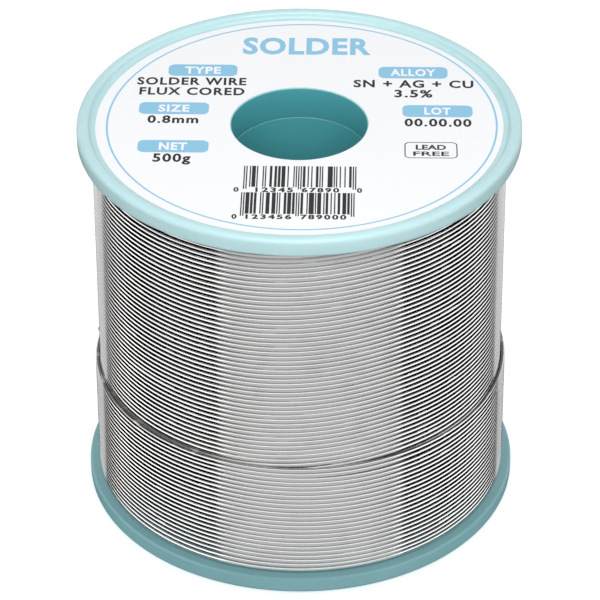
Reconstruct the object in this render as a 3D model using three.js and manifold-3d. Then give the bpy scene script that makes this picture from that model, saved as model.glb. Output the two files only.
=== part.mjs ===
// A spool of flux-cored solder wire, standing on its lower flange.
//
// Millimetres, +Z up, the origin on the spool's axis in the plane that it stands on.
// Angles are at the axis, from the front (-Y), counter-clockwise seen from above, so 90 degrees is +X.
//
// Two equal flange mouldings are pressed onto a core moulding. The wire is one piece, wound in layers: each
// layer is a sleeve here, the last one covers only the lower part, and the wire's two ends are drawn as wire.
// The flanges follow the winding: they are as far apart as its turns need, and stand a margin past it.

import * as THREE from "three";
import { mergeVertices } from "three/addons/utils/BufferGeometryUtils.js";
import Module from "manifold-3d";

const wasm = await Module();
wasm.setup();

// ---------------------------------------------------------------- driving sizes

// Wire and winding
const WIRE_DIAMETER = 0.8;
const FLUX_DIAMETER = 0.36; // 3.5 % of the wire's weight is flux, a fifth of its section
const TURNS_PER_LAYER = 72;
const FULL_LAYERS = 14;
const LAST_LAYER_TURNS = 24; // begun at the lower flange
const LAYER_GAP = 0.02; // between one sleeve and the next

// Core
const BORE_DIAMETER = 20;
const BORE_WALL = 1.5;
const BARREL_DIAMETER = 41.6;
const BARREL_WALL = 1.6;
const RIB_THICKNESS = 1.4;
const RIB_COUNT = 6;

// Flanges
const FLANGE_MARGIN = 1.45; // past the last layer
const WEB_THICKNESS = 1.75;
const RECESS_DEPTH = 1.05; // of the label's recess, below the rim
const RIM_WIDTH = 2.15; // from the recess to the outer edge
const RIM_STEP_WIDTH = 0.3; // the sloping foot of the rim, round the recess
const RIM_STEP_HEIGHT = 0.41;
const RIM_LAND_WIDTH = 0.5; // the flat that the spool stands on
const RIM_OUTER_ROUND = 0.9;
const RIM_INNER_ROUND = 0.4;
const COLLAR_LENGTH = 5; // how far a flange lines the bore, from its outer web face
const SPIGOT_LENGTH = 3; // how far a flange reaches into the barrel
const SPIGOT_WALL = 1.5;
const SPIGOT_FIT = 0.05; // radial, between spigot and barrel
const SEAT_CLEARANCE = 0.05; // between the core's ends and the flanges

// Label
const LABEL_THICKNESS = 0.1;
const LABEL_MARGIN = 0.6; // inside the recess
const LABEL_BORE_MARGIN = 0.2; // outside the bore
const LABEL_SEAT = 0.01; // the film of adhesive under it

// Wire ends
const FREE_END_FROM = 150; // degrees
const FREE_END_TO = 262;
const START_ANGLE = 200; // where the wire enters the winding, degrees
const START_HOLE_MARGIN = 0.5; // round the wire
const START_BEND_RADIUS = 0.95; // of the wire's middle
const START_TAIL_RUN = 14; // laid under the lower flange
const WIRE_CLEARANCE = 0.05; // round a wire end
const FLUX_CLEARANCE = 0.03;

// Facets
const SEGMENTS = 56; // round the axis, shared by all the concentric pieces
const ROUND_STEPS = 3; // in a quarter of a small round
const HOLE_SEGMENTS = 24;
const WIRE_SIDES = 8;
const FREE_END_STEPS = 28;
const START_TAIL_STEPS = 40;

// ---------------------------------------------------------------- worked out

const LAYER_STEP = WIRE_DIAMETER * Math.sin(Math.PI / 3); // turns lie in the grooves of the layer below
const RIM_THICKNESS = RECESS_DEPTH + WEB_THICKNESS;
const WINDING_FLOOR = RIM_THICKNESS;
const WINDING_CEILING = WINDING_FLOOR + TURNS_PER_LAYER * WIRE_DIAMETER;
const HEIGHT = WINDING_CEILING + RIM_THICKNESS;
const LAST_LAYER_TOP = WINDING_FLOOR + LAST_LAYER_TURNS * WIRE_DIAMETER;

const BORE_RADIUS = BORE_DIAMETER / 2;
const BARREL_RADIUS = BARREL_DIAMETER / 2;
const BARREL_INNER_RADIUS = BARREL_RADIUS - BARREL_WALL;
const WIRE_RADIUS = WIRE_DIAMETER / 2;
const FULL_RADIUS = layerFoot(FULL_LAYERS) + WIRE_DIAMETER; // outside the full layers
const LAST_RADIUS = layerFoot(FULL_LAYERS + 1) + WIRE_DIAMETER; // outside the last layer
const FLANGE_RADIUS = LAST_RADIUS + FLANGE_MARGIN;
const RECESS_RADIUS = FLANGE_RADIUS - RIM_WIDTH;

const COLLAR_TOP = RECESS_DEPTH + COLLAR_LENGTH;
const SPIGOT_TOP = RIM_THICKNESS + SPIGOT_LENGTH;
const START_HOLE_RADIUS = WIRE_RADIUS + START_HOLE_MARGIN;
const START_HOLE_PLACE = BARREL_RADIUS + START_HOLE_RADIUS; // its distance from the axis, clear of the barrel

// Inner radius of a layer, counted from 1 on the barrel.
function layerFoot(layer) {
  return BARREL_RADIUS + (layer - 1) * LAYER_STEP;
}

function radians(degrees) {
  return (degrees * Math.PI) / 180;
}

// A point at a distance from the axis, an angle from the front and a height.
function place(distance, degrees, height) {
  const angle = radians(degrees);
  return new THREE.Vector3(distance * Math.sin(angle), -distance * Math.cos(angle), height);
}

// ---------------------------------------------------------------- materials

function material(name, color, roughness, metalness) {
  const made = new THREE.MeshStandardMaterial({ color, roughness, metalness });
  made.name = name;
  return made;
}

const flangePlastic = () => material("flange_plastic", 0xb4dcdc, 0.42, 0);
const corePlastic = () => material("core_plastic", 0x6fa9ad, 0.5, 0);
const labelPaper = () => material("label_paper", 0xf7f8fa, 0.55, 0);
const solder = () => material("solder", 0xc9c9c6, 0.28, 1);
const flux = () => material("flux", 0xb98a4a, 0.35, 0);

// ---------------------------------------------------------------- shapes

// A ring about Z from its closed outline, [distance from the axis, height] counter-clockwise.
function ring(outline) {
  const closed = [...outline, outline[0]];
  const profile = closed.map(([distance, height]) => new THREE.Vector2(distance, height));
  return new THREE.LatheGeometry(profile, SEGMENTS).rotateX(Math.PI / 2);
}

function sleeve(inner, outer, bottom, top) {
  return ring([
    [inner, bottom],
    [outer, bottom],
    [outer, top],
    [inner, top],
  ]);
}

// A quarter of an ellipse in an outline, about a centre, from one angle in degrees counter-clockwise.
function quarter(distance, height, wide, high, from) {
  const points = [];
  for (let step = 0; step <= ROUND_STEPS; step++) {
    const angle = radians(from + (90 * step) / ROUND_STEPS);
    points.push([distance + wide * Math.cos(angle), height + high * Math.sin(angle)]);
  }
  return points;
}

function circle(radius) {
  const points = [];
  for (let side = 0; side < WIRE_SIDES; side++) {
    const angle = (2 * Math.PI * side) / WIRE_SIDES;
    points.push(new THREE.Vector2(radius * Math.cos(angle), radius * Math.sin(angle)));
  }
  return points;
}

// A path whose point at t, from 0 to 1, is worked out by a function.
class Route extends THREE.Curve {
  constructor(pointAt) {
    super();
    this.pointAt = pointAt;
  }

  getPoint(t, target = new THREE.Vector3()) {
    return target.copy(this.pointAt(t));
  }
}

function alongRoute(section, pointAt, steps) {
  return new THREE.ExtrudeGeometry(section, { steps, extrudePath: new Route(pointAt) });
}

function toSolid(geometry) {
  const bare = geometry.clone();
  bare.deleteAttribute("normal");
  bare.deleteAttribute("uv");
  const merged = mergeVertices(bare);
  return new wasm.Manifold(
    new wasm.Mesh({
      numProp: 3,
      vertProperties: merged.attributes.position.array,
      triVerts: new Uint32Array(merged.index.array),
    }),
  );
}

function toGeometry(solid) {
  const { vertProperties, triVerts } = solid.getMesh();
  const geometry = new THREE.BufferGeometry();
  geometry.setAttribute("position", new THREE.BufferAttribute(vertProperties, 3));
  geometry.setIndex(new THREE.BufferAttribute(triVerts, 1));
  geometry.computeVertexNormals();
  return geometry;
}

// ---------------------------------------------------------------- the pieces

const spool = new THREE.Group();

function addPart(name, geometry, partMaterial) {
  const mesh = new THREE.Mesh(geometry, partMaterial);
  mesh.name = name;
  spool.add(mesh);
  return mesh;
}

// A flange as the lower one lies: rim and recess below, collar and spigot above.
function flangeGeometry() {
  const stepInner = RECESS_RADIUS + RIM_STEP_WIDTH;
  const stepHeight = RECESS_DEPTH - RIM_STEP_HEIGHT;
  const landOuter = FLANGE_RADIUS - RIM_OUTER_ROUND;
  const landInner = landOuter - RIM_LAND_WIDTH;
  const spigotOuter = BARREL_INNER_RADIUS - SPIGOT_FIT;
  const spigotInner = spigotOuter - SPIGOT_WALL;
  const collarOuter = BORE_RADIUS + BORE_WALL;
  const innerRoundHeight = RIM_THICKNESS - RIM_INNER_ROUND;
  const moulding = ring([
    [BORE_RADIUS, RECESS_DEPTH],
    [RECESS_RADIUS, RECESS_DEPTH],
    ...quarter(landInner, stepHeight, landInner - stepInner, stepHeight, 180),
    ...quarter(landOuter, RIM_OUTER_ROUND, RIM_OUTER_ROUND, RIM_OUTER_ROUND, 270),
    ...quarter(FLANGE_RADIUS - RIM_INNER_ROUND, innerRoundHeight, RIM_INNER_ROUND, RIM_INNER_ROUND, 0),
    [spigotOuter, RIM_THICKNESS],
    [spigotOuter, SPIGOT_TOP],
    [spigotInner, SPIGOT_TOP],
    [spigotInner, RIM_THICKNESS],
    [collarOuter, RIM_THICKNESS],
    [collarOuter, COLLAR_TOP],
    [BORE_RADIUS, COLLAR_TOP],
  ]);
  const startHole = new THREE.CylinderGeometry(
    START_HOLE_RADIUS,
    START_HOLE_RADIUS,
    4 * RIM_THICKNESS,
    HOLE_SEGMENTS,
  );
  startHole.rotateX(Math.PI / 2);
  startHole.translate(...place(START_HOLE_PLACE, START_ANGLE, RIM_THICKNESS));
  return toGeometry(toSolid(moulding).subtract(toSolid(startHole)));
}

addPart("lower_flange", flangeGeometry(), flangePlastic());

const upperFlange = addPart("upper_flange", flangeGeometry(), flangePlastic());
upperFlange.rotation.x = Math.PI;
upperFlange.position.z = HEIGHT;

// The barrel that the wire is wound on, and the bore tube inside it, joined by ribs.
function coreGeometry() {
  const barrelBottom = WINDING_FLOOR + SEAT_CLEARANCE;
  const tubeBottom = COLLAR_TOP + SEAT_CLEARANCE;
  const ribBottom = Math.max(COLLAR_TOP, SPIGOT_TOP) + SEAT_CLEARANCE;
  const ribInner = BORE_RADIUS + BORE_WALL / 2;
  const ribOuter = BARREL_INNER_RADIUS + BARREL_WALL / 2;
  const barrel = sleeve(BARREL_INNER_RADIUS, BARREL_RADIUS, barrelBottom, HEIGHT - barrelBottom);
  const tube = sleeve(BORE_RADIUS, BORE_RADIUS + BORE_WALL, tubeBottom, HEIGHT - tubeBottom);
  let core = toSolid(barrel).add(toSolid(tube));
  for (let rib = 0; rib < RIB_COUNT; rib++) {
    const plate = new THREE.BoxGeometry(RIB_THICKNESS, ribOuter - ribInner, HEIGHT - 2 * ribBottom);
    plate.translate(0, (ribInner + ribOuter) / 2, HEIGHT / 2);
    plate.rotateZ((2 * Math.PI * rib) / RIB_COUNT);
    core = core.add(toSolid(plate));
  }
  return toGeometry(core);
}

addPart("core", coreGeometry(), corePlastic());

const labelBottom = HEIGHT - RECESS_DEPTH + LABEL_SEAT;
const labelTop = labelBottom + LABEL_THICKNESS;
addPart(
  "label",
  sleeve(BORE_RADIUS + LABEL_BORE_MARGIN, RECESS_RADIUS - LABEL_MARGIN, labelBottom, labelTop),
  labelPaper(),
);

// The last full layer shows above the last layer, where its turns stand up between the grooves.
function lastFullLayer(inner, grooved) {
  return ring([
    [inner, WINDING_FLOOR],
    [grooved, WINDING_FLOOR],
    [grooved, LAST_LAYER_TOP],
    [FULL_RADIUS, LAST_LAYER_TOP],
    [FULL_RADIUS, WINDING_CEILING],
    [inner, WINDING_CEILING],
  ]);
}

for (let layer = 1; layer <= FULL_LAYERS; layer++) {
  const name = `wire_layer_${String(layer).padStart(2, "0")}`;
  const inner = layerFoot(layer);
  const outer = layerFoot(layer + 1) - LAYER_GAP;
  const covered = layer < FULL_LAYERS;
  const geometry = covered
    ? sleeve(inner, outer, WINDING_FLOOR, WINDING_CEILING)
    : lastFullLayer(inner, outer);
  addPart(name, geometry, solder());
}

addPart(
  `wire_layer_${FULL_LAYERS + 1}`,
  sleeve(layerFoot(FULL_LAYERS + 1), LAST_RADIUS, WINDING_FLOOR, LAST_LAYER_TOP),
  solder(),
);

// The end of the last turn, lying on the last layer, rising as a turn does. Its flux core fills its hole.
function freeEndPoint(t) {
  const turned = t * (FREE_END_TO - FREE_END_FROM);
  const distance = FULL_RADIUS + WIRE_CLEARANCE + WIRE_RADIUS;
  const height = LAST_LAYER_TOP + WIRE_CLEARANCE + WIRE_RADIUS + (WIRE_DIAMETER * turned) / 360;
  return place(distance, FREE_END_FROM + turned, height);
}

const fluxRadius = FLUX_DIAMETER / 2;
const coredSection = new THREE.Shape(circle(WIRE_RADIUS));
coredSection.holes.push(new THREE.Path(circle(fluxRadius + FLUX_CLEARANCE)));
addPart("wire_free_end", alongRoute(coredSection, freeEndPoint, FREE_END_STEPS), solder());

const fluxSection = new THREE.Shape(circle(fluxRadius));
addPart("flux_core", alongRoute(fluxSection, freeEndPoint, FREE_END_STEPS), flux());

// The start of the wire: down through the lower flange beside the barrel, bent over and laid in the recess.
const tailHeight = RECESS_DEPTH - WIRE_CLEARANCE - WIRE_RADIUS;
const tailDrop = WINDING_FLOOR - WIRE_CLEARANCE - START_BEND_RADIUS - tailHeight;
const bendLength = (START_BEND_RADIUS * Math.PI) / 2;

function startTailPoint(t) {
  const gone = t * (tailDrop + bendLength + START_TAIL_RUN);
  const bend = Math.min(Math.max((gone - tailDrop) / START_BEND_RADIUS, 0), Math.PI / 2);
  const run = Math.max(gone - tailDrop - bendLength, 0);
  const sideways = START_BEND_RADIUS * (1 - Math.cos(bend)) + run;
  const above = tailDrop - Math.min(gone, tailDrop) + START_BEND_RADIUS * (1 - Math.sin(bend));
  const turned = (sideways / START_HOLE_PLACE) * (180 / Math.PI);
  return place(START_HOLE_PLACE, START_ANGLE + turned, tailHeight + above);
}

const wireSection = new THREE.Shape(circle(WIRE_RADIUS));
addPart("wire_start_tail", alongRoute(wireSection, startTailPoint, START_TAIL_STEPS), solder());

export default spool;
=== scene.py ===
# %% [markdown]
# # A spool of solder wire
#
# A moulded plastic spool, wound full of bright solder wire, with a round paper label on its upper flange.
# The CAD model is loaded first and stays where it is. It fixes every size, and each piece below is made to
# fit it. New pieces are modelled with bmesh, and every finish is made from shader nodes.

# %% Load the CAD model
import math
import random

import bmesh
import bpy
from mathutils import Matrix, Vector


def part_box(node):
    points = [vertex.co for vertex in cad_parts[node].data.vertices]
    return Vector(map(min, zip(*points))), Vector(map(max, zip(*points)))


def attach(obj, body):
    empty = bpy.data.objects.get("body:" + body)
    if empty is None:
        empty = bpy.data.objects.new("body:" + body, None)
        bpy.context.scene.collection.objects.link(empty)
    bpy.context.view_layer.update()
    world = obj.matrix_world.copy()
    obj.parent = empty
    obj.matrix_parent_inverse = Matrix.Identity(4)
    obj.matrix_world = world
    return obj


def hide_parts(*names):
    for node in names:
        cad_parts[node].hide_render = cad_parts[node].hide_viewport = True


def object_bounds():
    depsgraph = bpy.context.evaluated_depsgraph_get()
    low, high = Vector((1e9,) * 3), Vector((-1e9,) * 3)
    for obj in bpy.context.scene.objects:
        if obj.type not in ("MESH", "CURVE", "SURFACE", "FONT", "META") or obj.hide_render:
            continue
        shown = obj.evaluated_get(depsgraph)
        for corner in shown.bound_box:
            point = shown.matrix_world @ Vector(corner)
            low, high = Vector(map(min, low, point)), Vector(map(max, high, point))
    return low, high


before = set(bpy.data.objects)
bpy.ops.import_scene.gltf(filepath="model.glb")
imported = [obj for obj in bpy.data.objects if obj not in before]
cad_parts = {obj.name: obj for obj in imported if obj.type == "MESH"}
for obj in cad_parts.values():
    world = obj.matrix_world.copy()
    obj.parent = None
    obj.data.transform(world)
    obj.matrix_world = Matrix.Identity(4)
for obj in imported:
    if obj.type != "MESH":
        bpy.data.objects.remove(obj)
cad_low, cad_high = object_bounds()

print("CAD box:", [round(side * 1000, 2) for side in cad_high - cad_low], "mm")

# %% [markdown]
# ## Sizes
#
# Blender works in metres here, so a size in millimetres is multiplied by MM. Sizes that the CAD nodes show
# are read from their boxes, so that the pieces follow the part when it changes. The rest, such as a wall
# hidden inside a box, are named here once.

# %% Sizes read from the CAD nodes
MM = 0.001

FLANGE_RADIUS = cad_high.x
SPOOL_HEIGHT = cad_high.z
WINDING_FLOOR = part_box("wire_layer_15")[0].z
WINDING_CEILING = SPOOL_HEIGHT - WINDING_FLOOR
BARREL_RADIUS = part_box("core")[1].x
FULL_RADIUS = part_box("wire_layer_14")[1].x
LAST_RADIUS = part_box("wire_layer_15")[1].x
LABEL_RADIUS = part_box("label")[1].x
LABEL_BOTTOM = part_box("label")[0].z
LABEL_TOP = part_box("label")[1].z
COLLAR_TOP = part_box("lower_flange")[1].z
print("flange radius", round(FLANGE_RADIUS / MM, 2), "mm, height", round(SPOOL_HEIGHT / MM, 2), "mm")

# %% Sizes that no box shows
WIRE_RADIUS = 0.4 * MM
TURN_PITCH = 0.8 * MM
FLUX_RADIUS = 0.18 * MM
BORE_RADIUS = 10 * MM
BORE_WALL = 1.5 * MM
BARREL_WALL = 1.6 * MM
RECESS_DEPTH = 1.05 * MM
RIM_THICKNESS = WINDING_FLOOR
RIM_WIDTH = 2.15 * MM
SPIGOT_LENGTH = 3 * MM
SPIGOT_WALL = 1.5 * MM
FIT = 0.05 * MM
MERGE_DISTANCE = 0.0005 * MM  # vertices nearer than this are one
print("turns between the flanges:", round((WINDING_CEILING - WINDING_FLOOR) / TURN_PITCH, 1))


# %% Places round the axis
def round_place(distance, angle, height):
    """A point from its distance to the axis, its angle from the front and its height."""
    return Vector((distance * math.sin(angle), -distance * math.cos(angle), height))


# %% [markdown]
# ## Camera
#
# A product like this is best shown by a long lens from well back, so that its upright sides stay nearly
# parallel. The camera looks from the front, a little over thirty degrees down. Blender's camera looks along
# its own -Z, so it is turned up from there.

# %% Camera
CAMERA_DISTANCE = 459.3 * MM  # in front of the axis
CAMERA_ABOVE_LABEL = 283.2 * MM
CAMERA_DOWN = math.radians(34.42)
CAMERA_ROLL = math.radians(-0.21)
LENS_LENGTH = 220
SENSOR_WIDTH = 36

camera_data = bpy.data.cameras.new("camera")
camera_data.lens = LENS_LENGTH
camera_data.sensor_width = SENSOR_WIDTH
camera_data.clip_start = 0.01
camera = bpy.data.objects.new("camera", camera_data)
bpy.context.scene.collection.objects.link(camera)
tilt = Matrix.Rotation(math.pi / 2 - CAMERA_DOWN, 4, "X") @ Matrix.Rotation(CAMERA_ROLL, 4, "Z")
camera.matrix_world = Matrix.Translation((0, -CAMERA_DISTANCE, LABEL_TOP + CAMERA_ABOVE_LABEL)) @ tilt
bpy.context.scene.camera = camera
print("camera at", [round(place, 3) for place in camera.location])

# %% [markdown]
# ## A short way to write shader nodes
#
# A shader is a graph, and long arithmetic in it is hard to read as nodes and links. Value wraps one socket
# and gives it Python's operators, so that `1 - mask * 0.5` adds the Math nodes by itself. Every other node
# comes from Graph.add, which takes the node's type, its settings and what goes into its sockets.

# %% Values that Python can calculate with
class Value:
    """One output socket. Each operator adds a Math node to the same graph."""

    def __init__(self, graph, socket):
        self.graph = graph
        self.socket = socket

    def math(self, operation, *numbers):
        return self.graph.add("ShaderNodeMath", {"operation": operation}, dict(enumerate(numbers)))

    def __add__(self, other):
        return self.math("ADD", self, other)

    def __sub__(self, other):
        return self.math("SUBTRACT", self, other)

    def __rsub__(self, other):
        return self.math("SUBTRACT", other, self)

    def __mul__(self, other):
        return self.math("MULTIPLY", self, other)

    def __truediv__(self, other):
        return self.math("DIVIDE", self, other)

    __radd__ = __add__
    __rmul__ = __mul__


# %% Graphs of nodes
class Graph:
    """The node tree of a material or a world."""

    def __init__(self, owner):
        owner.use_nodes = True
        self.owner = owner
        self.tree = owner.node_tree
        self.tree.nodes.clear()

    def add(self, kind, settings=None, inputs=None, output=0):
        node = self.tree.nodes.new(kind)
        for name, setting in (settings or {}).items():
            setattr(node, name, setting)
        for name, given in (inputs or {}).items():
            if isinstance(given, Value):
                self.tree.links.new(given.socket, node.inputs[name])
            else:
                node.inputs[name].default_value = given
        return Value(self, node.outputs[output]) if len(node.outputs) else node

    def another(self, value, output):
        """Another output of the node that a value comes from."""
        return Value(self, value.socket.node.outputs[output])

    def smooth_step(self, value, low, high):
        """A smooth rise from 0 to 1 between two values."""
        settings = {"interpolation_type": "SMOOTHSTEP"}
        inputs = {"Value": value, "From Min": low, "From Max": high}
        return self.add("ShaderNodeMapRange", settings, inputs)

    def blend(self, factor, first, second):
        """A mix of two colours."""
        inputs = {"Factor": factor, 6: first, 7: second}
        return self.add("ShaderNodeMix", {"data_type": "RGBA"}, inputs, output=2)


# %% [markdown]
# ## Studio
#
# The wire is almost a mirror, so what it shows is the studio round it. There are four things to reflect:
# tall soft lights at both sides that meet over the front, a grey card at the front, a pale backdrop behind,
# and darkness below and above the lights. They could be planes with lights, but a world drawn by direction
# gives the same reflections with less noise.
#
# A world can answer each kind of ray with its own picture. Mirror-like rays see the cards, the camera sees a
# plain pale background, and matt surfaces are lit by an even, rather dim sky.

# %% World
FRONT_CARD_MIDDLE = math.radians(5)
FRONT_CARD_EDGE = math.radians(48)  # from its middle
FRONT_CARD_POWER = 0.61
TOP_LIGHT_EDGE = math.radians(42)
SIDE_LIGHT_EDGE = math.radians(14)
SIDE_LIGHT_POWER = 1.5
LIGHTS_END = math.radians(64)  # the ceiling above them is dark
BACKDROP_EDGE = math.radians(126)
BACKDROP_FOOT = math.radians(-30)
BACKDROP_POWER = 0.76
FAR_BACKDROP_EDGE = math.radians(138)
FAR_BACKDROP_POWER = 1.0
DARK_POWER = 0.002
SOFT_EDGE = math.radians(4)
BACKGROUND = 1.05
SKY_POWER = 0.62
SKY_FROM = 0.6  # the height of a direction, from -1 to 1, above which the sky is even
GROUND_POWER = 0.48
GROUND_FROM = -0.3

world = bpy.data.worlds.new("studio")
bpy.context.scene.world = world
sky = Graph(world)
direction = sky.add("ShaderNodeTexCoord", output="Generated")
east = sky.add("ShaderNodeSeparateXYZ", None, {0: direction})
north = sky.another(east, "Y")
up = sky.another(east, "Z")
bearing = east.math("ARCTAN2", east, 0 - north)  # from the front, towards +X
azimuth = bearing.math("ABSOLUTE", bearing)
from_card = bearing.math("ABSOLUTE", bearing - FRONT_CARD_MIDDLE)
elevation = up.math("ARCSINE", up)


def soft_edge(value, place, softness=SOFT_EDGE):
    return sky.smooth_step(value, place - softness, place + softness)


below_ceiling = 1 - soft_edge(elevation, LIGHTS_END)
lights = below_ceiling * SIDE_LIGHT_POWER
sides = soft_edge(elevation, SIDE_LIGHT_EDGE) * lights + DARK_POWER
front = soft_edge(elevation, TOP_LIGHT_EDGE) * (lights - FRONT_CARD_POWER) + FRONT_CARD_POWER
above_foot = soft_edge(elevation, BACKDROP_FOOT, SOFT_EDGE / 2)
behind = soft_edge(azimuth, BACKDROP_EDGE, SOFT_EDGE / 2) * above_foot
far_behind = soft_edge(azimuth, FAR_BACKDROP_EDGE, 2 * SOFT_EDGE)
backdrop = far_behind * (FAR_BACKDROP_POWER - BACKDROP_POWER) + BACKDROP_POWER
at_front = 1 - soft_edge(from_card, FRONT_CARD_EDGE, SOFT_EDGE / 2)
mirrored = sides + at_front * (front - sides) + behind * (backdrop - sides)
sky_power = sky.smooth_step(up, GROUND_FROM, SKY_FROM) * (SKY_POWER - GROUND_POWER) + GROUND_POWER
seen_by_camera = sky.add("ShaderNodeLightPath", output="Is Camera Ray")
seen_by_mirror = sky.another(seen_by_camera, "Is Glossy Ray")
for_mirrors = seen_by_mirror * (mirrored - sky_power)
for_camera = seen_by_camera * (BACKGROUND - sky_power)
studio = sky_power + for_mirrors + for_camera
light = sky.add("ShaderNodeBackground", None, {"Color": studio})
sky.add("ShaderNodeOutputWorld", None, {"Surface": light})
print("world:", len(sky.tree.nodes), "nodes")

# %% [markdown]
# The floor is a plain pale sheet. A mirror-bright wire would show it as a white band on the underside of
# every turn, so it is kept out of reflections. The key light is a wide soft disc above the front, and two
# smaller ones fill in low from both sides of the camera. Light linking lets the key reach the upper flange,
# its label and the bore only, and the fills the flanges only, as cards on stands would.

# %% Floor and lamps
FLOOR_SIZE = 4
FLOOR_COLOR = (0.95, 0.955, 0.96, 1)
FLOOR_GLOW = 0.6  # as a white table lit from below, so that shadows on it stay faint
KEY_LIGHT_POWER = 1.9
KEY_LIGHT_SIZE = 0.5
KEY_LIGHT_DISTANCE = 0.3
KEY_LIGHT_ABOVE = 0.34  # above the spool
FILL_LIGHT_POWER = 0.62
FILL_LIGHT_SIZE = 0.4
FILL_LIGHT_DISTANCE = 0.5
FILL_LIGHT_ANGLES = (math.radians(-60), math.radians(60))  # from the front


def plain_material(name, color, roughness, glow=0.0):
    """A matt finish of one colour, with a speckle too faint to see as a pattern."""
    graph = Graph(bpy.data.materials.new(name))
    place = graph.add("ShaderNodeTexCoord", output="Object")
    speckle = graph.add("ShaderNodeTexNoise", None, {"Vector": place, "Scale": 30.0, "Detail": 3.0})
    tone = graph.blend(speckle, color, tuple(part * 0.985 for part in color[:3]) + (1,))
    shader = graph.add("ShaderNodeBsdfPrincipled", None, {
        "Base Color": tone, "Roughness": roughness, "Specular IOR Level": 0.2,
        "Emission Color": color, "Emission Strength": glow})
    graph.add("ShaderNodeOutputMaterial", None, {"Surface": shader})
    return graph.owner


floor_mesh = bpy.data.meshes.new("floor")
bm = bmesh.new()
bmesh.ops.create_grid(bm, x_segments=1, y_segments=1, size=FLOOR_SIZE / 2)
bm.to_mesh(floor_mesh)
bm.free()
floor = bpy.data.objects.new("floor", floor_mesh)
bpy.context.scene.collection.objects.link(floor)
floor_mesh.materials.append(plain_material("floor_white", FLOOR_COLOR, 0.8, FLOOR_GLOW))
floor.visible_glossy = False
floor.visible_diffuse = False


def disc_light(name, place, size, power):
    """A soft disc aimed at the spool, and the collection of the pieces that it lights."""
    lamp = bpy.data.lights.new(name, "AREA")
    lamp.shape = "DISK"
    lamp.size = size
    lamp.energy = power
    light = bpy.data.objects.new(name, lamp)
    bpy.context.scene.collection.objects.link(light)
    aim = (place - Vector((0, 0, SPOOL_HEIGHT))).to_track_quat("Z", "Y").to_matrix().to_4x4()
    light.matrix_world = Matrix.Translation(place) @ aim
    light.visible_camera = False
    receivers = bpy.data.collections.new(name + "_receivers")
    light.light_linking.receiver_collection = receivers
    return receivers


above_front = round_place(KEY_LIGHT_DISTANCE, 0, SPOOL_HEIGHT + KEY_LIGHT_ABOVE)
lit_by_key = disc_light("key_light", above_front, KEY_LIGHT_SIZE, KEY_LIGHT_POWER)
lit_by_fills = []
for angle in FILL_LIGHT_ANGLES:
    beside = round_place(FILL_LIGHT_DISTANCE, angle, SPOOL_HEIGHT / 2)
    lit_by_fills.append(disc_light("fill_light", beside, FILL_LIGHT_SIZE, FILL_LIGHT_POWER))
bpy.context.scene.view_settings.view_transform = "Standard"
print("floor", FLOOR_SIZE, "m, key light", KEY_LIGHT_POWER, "W, fill light", FILL_LIGHT_POWER, "W")

# %% [markdown]
# ## Finishing a piece
#
# A piece made in bmesh becomes an object at the origin, with its place in its mesh, as a CAD node's is.
# Smooth shading hides the facets of round walls, and edges sharper than an angle stay crisp.

# %% Turning a bmesh into a piece
SHARP_ANGLE = math.radians(32)
pieces = {}


def finish_piece(name, bm, material, stands_for=()):
    """Turns a bmesh into a finished object that stands for CAD nodes."""
    bmesh.ops.remove_doubles(bm, verts=bm.verts, dist=MERGE_DISTANCE)
    mesh = bpy.data.meshes.new(name)
    bm.to_mesh(mesh)
    bm.free()
    mesh.shade_smooth()
    mesh.set_sharp_from_angle(angle=SHARP_ANGLE)
    mesh.materials.append(material)
    piece = bpy.data.objects.new(name, mesh)
    bpy.context.scene.collection.objects.link(piece)
    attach(piece, "root")
    if stands_for:
        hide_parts(*stands_for)
    pieces[name] = piece
    triangles = sum(len(face.vertices) - 2 for face in mesh.polygons)
    sides = [round(side / MM, 2) for side in piece.dimensions]
    print(f"{name}: {triangles} triangles, {sides} mm")
    return piece


# %% [markdown]
# ## Round mouldings
#
# Flanges, core and label are all turned shapes: an outline swept once round the axis. A cylinder primitive
# would need every step and groove cut into it, while a spun outline holds them all. The outline is one flat
# face whose corners are bevelled, each by its own amount, and only its edges are spun.

# %% Spinning an outline
ROUND_SEGMENTS = 192
CORNER_SEGMENTS = 6


def spun(corners):
    """A solid of revolution about Z. Each corner is (distance from the axis, height, size of its round)."""
    bm = bmesh.new()
    points = [bm.verts.new((distance, 0, height)) for distance, height, _ in corners]
    bm.faces.new(points)
    for point, (_, _, size) in zip(points, corners):
        if size:
            bmesh.ops.bevel(
                bm, geom=[point], offset=size, segments=CORNER_SEGMENTS, profile=0.5,
                affect="VERTICES", material=-1,
            )
    bmesh.ops.delete(bm, geom=bm.faces[:], context="FACES_ONLY")
    bmesh.ops.spin(
        bm, geom=bm.verts[:] + bm.edges[:], cent=(0, 0, 0), axis=(0, 0, 1), angle=2 * math.pi,
        steps=ROUND_SEGMENTS, use_merge=True,
    )
    bmesh.ops.recalc_face_normals(bm, faces=bm.faces[:])
    return bm


# %% [markdown]
# ## Plastic
#
# The flanges are tinted styrene: a fairly glossy skin over a colour that light enters a little. Its
# detail is small: faint flow marks round the rim, clouds in the tint and a fine grain from the mould. In the
# bore the wall is painted a much deeper tint, as painted shade for the deep hole.

# %% Moulded plastic
# The bore's colour is painted shade: the deep hole is painted darker than the plastic.
BORE_PAINTED_SHADE = (0.075, 0.35, 0.385, 1)
BORE_PAINTED_SHADE_REACH = 0.2 * MM


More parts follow.
